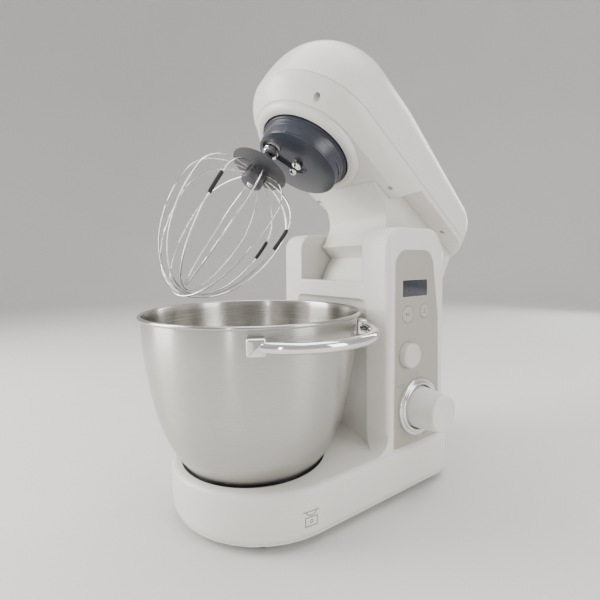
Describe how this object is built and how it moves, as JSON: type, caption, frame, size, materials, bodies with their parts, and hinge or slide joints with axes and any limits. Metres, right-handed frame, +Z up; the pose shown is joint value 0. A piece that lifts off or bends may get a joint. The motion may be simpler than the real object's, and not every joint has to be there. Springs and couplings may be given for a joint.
{
  "type": "stand mixer",
  "caption": "Tilt-head stand mixer with a planetary whisk, a steel bowl with a side handle, and a side control panel with a display and a speed knob.",
  "frame": {"origin": "on the floor, under the middle of the whole mixer with its head raised", "axes": "+Z up, the bowl and the whisk towards -Y, the control panel towards +X"},
  "size_m": [0.2636, 0.4446, 0.5143],
  "materials": {
    "beige": "satin",
    "black_plastic": "moulded",
    "charcoal": "fine-grained",
    "chrome": "polished",
    "circuit": "printed circuit",
    "copper": "wound copper",
    "gear_nylon": "acetal",
    "glass": "dark display window",
    "iron": "machined",
    "rubber": "matt",
    "slate": "semi-gloss",
    "steel": "brushed stainless",
    "white": "satin moulded"
  },
  "bodies": {
    "base": {"base_housing": "white", "bottom_plate": "white", "bowl_lock_ring": "black_plastic", "control_panel": "beige", "cord_gland": "black_plastic", "display_board": "circuit", "display_window": "glass", "foot_front_left": "rubber", "foot_front_right": "rubber", "foot_rear_left": "rubber", "foot_rear_right": "rubber", "hinge_bush_left": "gear_nylon", "hinge_bush_right": "gear_nylon", "hinge_pin": "iron", "knob_ring": "chrome", "plate_screw_front": "iron", "plate_screw_rear": "iron", "power_board": "circuit", "release_spring": "iron", "speed_encoder": "black_plastic"},
    "head": {"collar_ring": "white", "drive_belt": "rubber", "gearbox_plate": "iron", "head_lower_cover": "white", "head_neck": "white", "head_screw_front_left": "iron", "head_screw_front_right": "iron", "head_screw_rear_left": "iron", "head_screw_rear_right": "iron", "head_top_cover": "white", "main_bearing": "gear_nylon", "motor_end_plate": "iron", "motor_stator": "iron", "ring_gear": "gear_nylon"},
    "planetary": {"drive_shaft": "chrome", "main_gear": "iron", "planet_bush": "gear_nylon", "planetary_carrier": "slate"},
    "whisk_drive": {"output_cross_pin": "iron", "output_shaft": "chrome", "planet_gear": "iron"},
    "whisk": {"whisk_hub": "charcoal", "whisk_rivet": "chrome", "whisk_wires": "steel", "wire_sleeve_a": "rubber", "wire_sleeve_b": "rubber", "wire_sleeve_c": "rubber"},
    "countershaft": {"countershaft": "iron", "large_pulley": "gear_nylon"},
    "motor_rotor": {"motor_pulley": "iron", "motor_rotor": "copper", "motor_shaft": "iron"},
    "bowl_pad": {"bowl_pad": "rubber"},
    "bowl": {"bowl": "steel", "bowl_foot_ring": "steel", "bowl_handle": "chrome"},
    "speed_knob": {"speed_knob": "white"},
    "start_button": {"start_button": "beige"},
    "timer_button": {"timer_button": "beige"},
    "release_button": {"release_button": "white"}
  },
  "joints": [
    {"name": "head_tilt", "type": "hinge", "parent": "base", "child": "head", "pos_m": [-0.01453, 0.10602, 0.2187], "axis": [-1, 0, 0], "range_deg": [-35.5, 0]},
    {"name": "planetary_spin", "type": "hinge", "parent": "head", "child": "planetary", "pos_m": [-0.01453, -0.03016, 0.39113], "axis": [0, 0.5807, 0.8141], "continuous": true},
    {"name": "whisk_spin", "type": "hinge", "parent": "planetary", "child": "whisk_drive", "pos_m": [-0.02689, -0.05507, 0.4089], "axis": [0, 0.5807, 0.8141], "continuous": true},
    {"name": "whisk_pull_off", "type": "slide", "parent": "whisk_drive", "child": "whisk", "axis": [0, -0.5807, -0.8141], "range_m": [0, 0.015]},
    {"name": "countershaft_spin", "type": "hinge", "parent": "head", "child": "countershaft", "pos_m": [-0.01453, -0.00085, 0.37023], "axis": [0, 0.5807, 0.8141], "continuous": true},
    {"name": "motor_spin", "type": "hinge", "parent": "head", "child": "motor_rotor", "pos_m": [-0.01453, 0.09196, 0.30403], "axis": [0, 0.5807, 0.8141], "continuous": true},
    {"name": "bowl_twist", "type": "hinge", "parent": "base", "child": "bowl_pad", "pos_m": [-0.01453, -0.10498, 0.044], "axis": [0, 0, 1], "range_deg": [-20, 0]},
    {"name": "bowl_lift", "type": "slide", "parent": "bowl_pad", "child": "bowl", "axis": [0, 0, 1], "range_m": [0, 0.006]},
    {"name": "knob_turn", "type": "hinge", "parent": "base", "child": "speed_knob", "pos_m": [0.08177, 0.05402, 0.099], "axis": [1, 0, 0], "range_deg": [0, 270]},
    {"name": "start_press", "type": "slide", "parent": "base", "child": "start_button", "axis": [-1, 0, 0], "range_m": [0, 0.0008], "stiffness_N_per_m": 900, "springref_m": -0.0004},
    {"name": "timer_press", "type": "slide", "parent": "base", "child": "timer_button", "axis": [-1, 0, 0], "range_m": [0, 0.0008], "stiffness_N_per_m": 900, "springref_m": -0.0004},
    {"name": "release_press", "type": "slide", "parent": "base", "child": "release_button", "axis": [-1, 0, 0], "range_m": [0, 0.004], "stiffness_N_per_m": 500, "springref_m": -0.002, "deforming": ["release_spring"]}
  ],
  "couplings": [
    {"joint": "whisk_spin", "follows": "planetary_spin", "ratio": -5},
    {"joint": "countershaft_spin", "follows": "planetary_spin", "ratio": -5},
    {"joint": "motor_spin", "follows": "planetary_spin", "ratio": -30}
  ]
}
